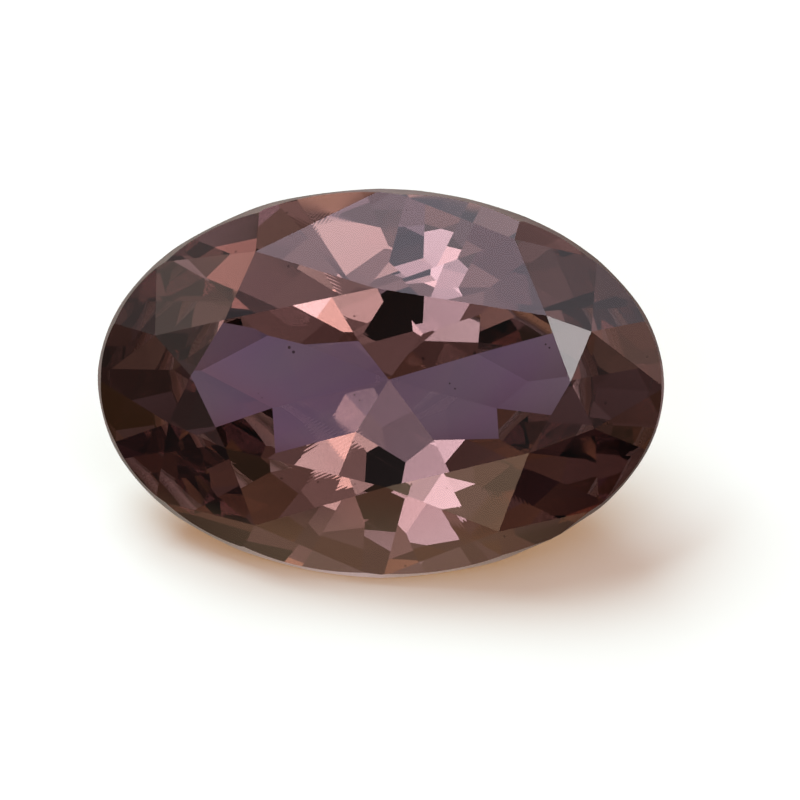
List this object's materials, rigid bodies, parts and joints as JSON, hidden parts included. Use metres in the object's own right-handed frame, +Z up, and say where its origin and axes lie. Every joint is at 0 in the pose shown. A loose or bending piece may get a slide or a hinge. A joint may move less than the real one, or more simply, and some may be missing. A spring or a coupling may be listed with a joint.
{
  "type": "oval cut zoisite gemstone",
  "caption": "Loose clear gemstone with an oval brilliant cut: flat table, faceted crown, thin girdle and bulged pavilion, lying on one pavilion facet.",
  "frame": {"origin": "middle of the stone's bounding box, on the surface that the stone lies on", "axes": "+X along the oval's long axis, to the right as the table is seen; +Y to the back, away from where the table leans; +Z up"},
  "size_m": [0.009, 0.0046, 0.0043],
  "materials": {
    "stone": "polished"
  },
  "bodies": {
    "root": {"stone": "stone"}
  },
  "joints": []
}
